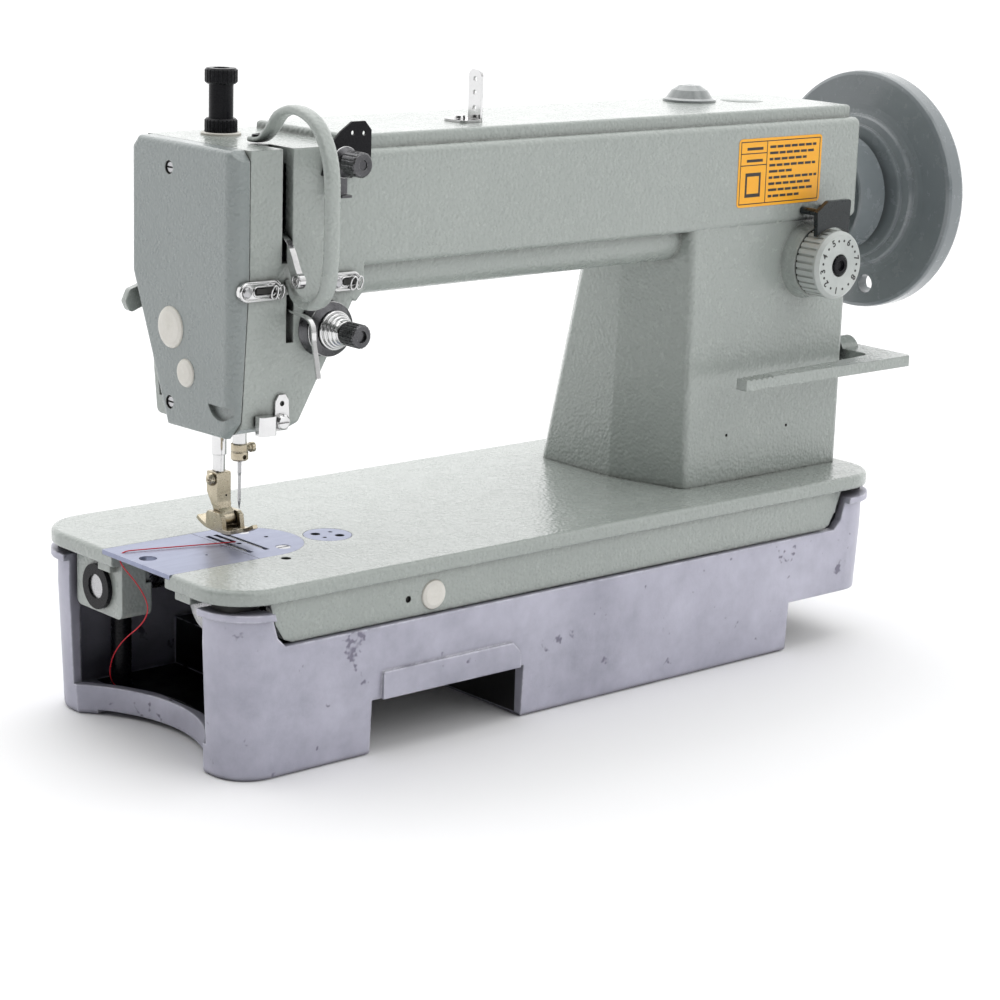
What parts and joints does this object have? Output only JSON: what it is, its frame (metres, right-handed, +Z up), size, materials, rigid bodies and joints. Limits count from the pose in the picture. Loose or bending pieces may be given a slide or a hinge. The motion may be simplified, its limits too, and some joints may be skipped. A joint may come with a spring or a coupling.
{
  "type": "leather sewing machine",
  "caption": "Flat-bed lockstitch sewing head for leather in a cast aluminium pan, with handwheel, stitch dial, reverse lever, presser foot, thread tensions and red thread.",
  "frame": {"origin": "centre of the bounding box's underside, on the plane the pan stands on, measured without the loose thread", "axes": "+X along the bed from the needle end towards the handwheel, +Y from the operator's side to the back, +Z up"},
  "size_m": [0.5454, 0.1862, 0.34],
  "materials": {
    "cast_aluminium": "rough cast, mottled and stained",
    "hammer_paint": "grey-green hammertone enamel",
    "plate_steel": "satin ground steel",
    "machined_steel": "turned and ground",
    "chrome": "polished, lightly worn",
    "nickel": "worn nickel with golden tarnish",
    "black_metal": "black oxide",
    "wheel_enamel": "satin grey enamel",
    "black_plastic": "moulded, gloss black",
    "white_plastic": "moulded, ivory to light grey",
    "oil_sight": "smoky clear plastic",
    "rubber": "matte",
    "bronze": "sintered bronze",
    "dark_steel": "dark oiled steel",
    "thread": "twisted red thread"
  },
  "bodies": {
    "machine": {"base_pan": "cast_aluminium", "pan_cushions": "rubber", "support_post": "black_metal", "bed": "hammer_paint", "arm_casting": "hammer_paint", "face_plate": "hammer_paint", "cover_screws": "machined_steel", "white_plugs": "white_plastic", "needle_plate": "plate_steel", "bed_disc": "plate_steel", "take_up_guard": "hammer_paint", "oval_thread_guides": "chrome", "lower_thread_guide": "chrome", "arm_top_thread_guide": "chrome", "oil_sight_dome": "oil_sight", "pretension_plate": "black_metal", "tension_discs": "dark_steel", "tension_studs": "dark_steel", "tension_spring": "chrome", "shaft_bushings": "bronze", "bar_bushings": "bronze", "rock_shaft_bush": "black_metal", "bobbin_case": "machined_steel", "timing_belt": "rubber", "presser_spring": "machined_steel", "needle_thread": "thread"},
    "main_drive": {"main_shaft": "machined_steel", "handwheel": "wheel_enamel", "upper_pulley": "machined_steel", "counterweight_crank": "machined_steel"},
    "needle_link": {"needle_bar_link": "machined_steel"},
    "needle_carriage": {"needle_bar": "chrome", "needle_bar_connector": "machined_steel", "needle_clamp": "nickel", "needle_screw": "nickel", "needle": "machined_steel"},
    "take_up": {"take_up_lever": "chrome"},
    "presser": {"presser_bar": "chrome", "presser_bracket": "machined_steel", "presser_foot_shank": "nickel", "presser_foot_screw": "nickel", "presser_foot_pin": "nickel"},
    "sole": {"presser_foot_sole": "nickel"},
    "pressure_screw": {"pressure_screw": "black_metal"},
    "pressure_lock_nut": {"pressure_lock_nut": "black_metal"},
    "lifter": {"lifter_lever": "hammer_paint"},
    "stitch_dial": {"stitch_dial": "white_plastic"},
    "push_plate": {"push_plate": "black_plastic"},
    "reverse_lever": {"reverse_lever": "hammer_paint"},
    "slide_plate": {"slide_plate": "plate_steel"},
    "lower_drive": {"lower_shaft": "machined_steel", "lower_pulley": "machined_steel", "rotary_hook": "machined_steel"},
    "bobbin": {"bobbin": "machined_steel"},
    "feed": {"feed_bar": "machined_steel", "feed_dog": "machined_steel"},
    "rock_shaft": {"feed_rock_shaft": "machined_steel"},
    "tension_nut": {"tension_nut": "dark_steel"},
    "pretension_nut": {"pretension_nut": "dark_steel"},
    "check_spring": {"check_spring": "chrome"}
  },
  "joints": [
    {"name": "main_shaft_spin", "type": "hinge", "parent": "machine", "child": "main_drive", "pos_m": [0.028, -0.00738, 0.253], "axis": [1, 0, 0], "continuous": true},
    {"name": "needle_link_pin", "type": "hinge", "parent": "main_drive", "child": "needle_link", "pos_m": [-0.1995, -0.00738, 0.268], "axis": [1, 0, 0], "continuous": true},
    {"name": "needle_bar_slide", "type": "slide", "parent": "machine", "child": "needle_carriage", "axis": [0, 0, 1], "range_m": [-0.03, 0]},
    {"name": "take_up_swing", "type": "hinge", "parent": "machine", "child": "take_up", "pos_m": [-0.2158, 0.00062, 0.271], "axis": [-1, 0, 0], "range_deg": [0, 40]},
    {"name": "presser_lift", "type": "slide", "parent": "machine", "child": "presser", "axis": [0, 0, 1], "range_m": [0, 0.006], "deforming": ["presser_spring"]},
    {"name": "sole_tilt", "type": "hinge", "parent": "presser", "child": "sole", "pos_m": [-0.2085, 0.00462, 0.1102], "axis": [1, 0, 0], "range_deg": [-8, 8]},
    {"name": "pressure_screw_turn", "type": "hinge", "parent": "machine", "child": "pressure_screw", "pos_m": [-0.2085, 0.01062, 0.319], "axis": [0, 0, 1], "range_deg": [-720, 720]},
    {"name": "lock_nut_turn", "type": "hinge", "parent": "machine", "child": "pressure_lock_nut", "pos_m": [-0.2085, 0.01062, 0.311], "axis": [0, 0, 1], "range_deg": [-720, 720]},
    {"name": "lifter_swing", "type": "hinge", "parent": "machine", "child": "lifter", "pos_m": [-0.2, 0.03262, 0.227], "axis": [0, 1, 0], "range_deg": [0, 91]},
    {"name": "stitch_dial_turn", "type": "hinge", "parent": "machine", "child": "stitch_dial", "pos_m": [0.1605, -0.07138, 0.2235], "axis": [0, 1, 0], "range_deg": [-145, 145]},
    {"name": "push_plate_press", "type": "slide", "parent": "machine", "child": "push_plate", "axis": [0, 1, 0], "range_m": [0, 0.003], "stiffness_N_per_m": 600, "springref_m": -0.003},
    {"name": "reverse_lever_press", "type": "hinge", "parent": "machine", "child": "reverse_lever", "pos_m": [0.215, -0.03738, 0.162], "axis": [1, 0, 0], "range_deg": [0, 20], "stiffness_Nm_per_rad": 0.5, "springref_deg": -20.05},
    {"name": "slide_plate_slide", "type": "slide", "parent": "machine", "child": "slide_plate", "axis": [-1, 0, 0], "range_m": [0, 0.045], "deforming": ["needle_thread"]},
    {"name": "lower_shaft_spin", "type": "hinge", "parent": "machine", "child": "lower_drive", "pos_m": [-0.032, -0.00738, 0.071], "axis": [1, 0, 0], "continuous": true},
    {"name": "bobbin_spin", "type": "hinge", "parent": "machine", "child": "bobbin", "pos_m": [-0.222, -0.00738, 0.071], "axis": [1, 0, 0], "continuous": true},
    {"name": "feed_travel", "type": "slide", "parent": "machine", "child": "feed", "axis": [0, 1, 0], "range_m": [-0.0035, 0.0035]},
    {"name": "rock_shaft_turn", "type": "hinge", "parent": "machine", "child": "rock_shaft", "pos_m": [-0.192, 0.03762, 0.075], "axis": [-1, 0, 0], "range_deg": [-16, 16]},
    {"name": "tension_nut_turn", "type": "hinge", "parent": "machine", "child": "tension_nut", "pos_m": [-0.194, -0.08138, 0.218], "axis": [0, 1, 0], "range_deg": [-720, 720]},
    {"name": "pretension_nut_turn", "type": "hinge", "parent": "machine", "child": "pretension_nut", "pos_m": [-0.188, -0.07238, 0.3], "axis": [0, 1, 0], "range_deg": [-720, 720]},
    {"name": "check_spring_swing", "type": "hinge", "parent": "machine", "child": "check_spring", "pos_m": [-0.2138, -0.04838, 0.2294], "axis": [-1, 0, 0], "range_deg": [0, 8], "stiffness_Nm_per_rad": 0.01, "springref_deg": -14.32}
  ],
  "couplings": [
    {"joint": "needle_link_pin", "follows": "main_shaft_spin", "ratio": -1},
    {"joint": "lower_shaft_spin", "follows": "main_shaft_spin", "ratio": 2},
    {"joint": "lifter_swing", "follows": "presser_lift", "rad_per_m": 261.8},
    {"joint": "rock_shaft_turn", "follows": "feed_travel", "rad_per_m": 76.9}
  ]
}
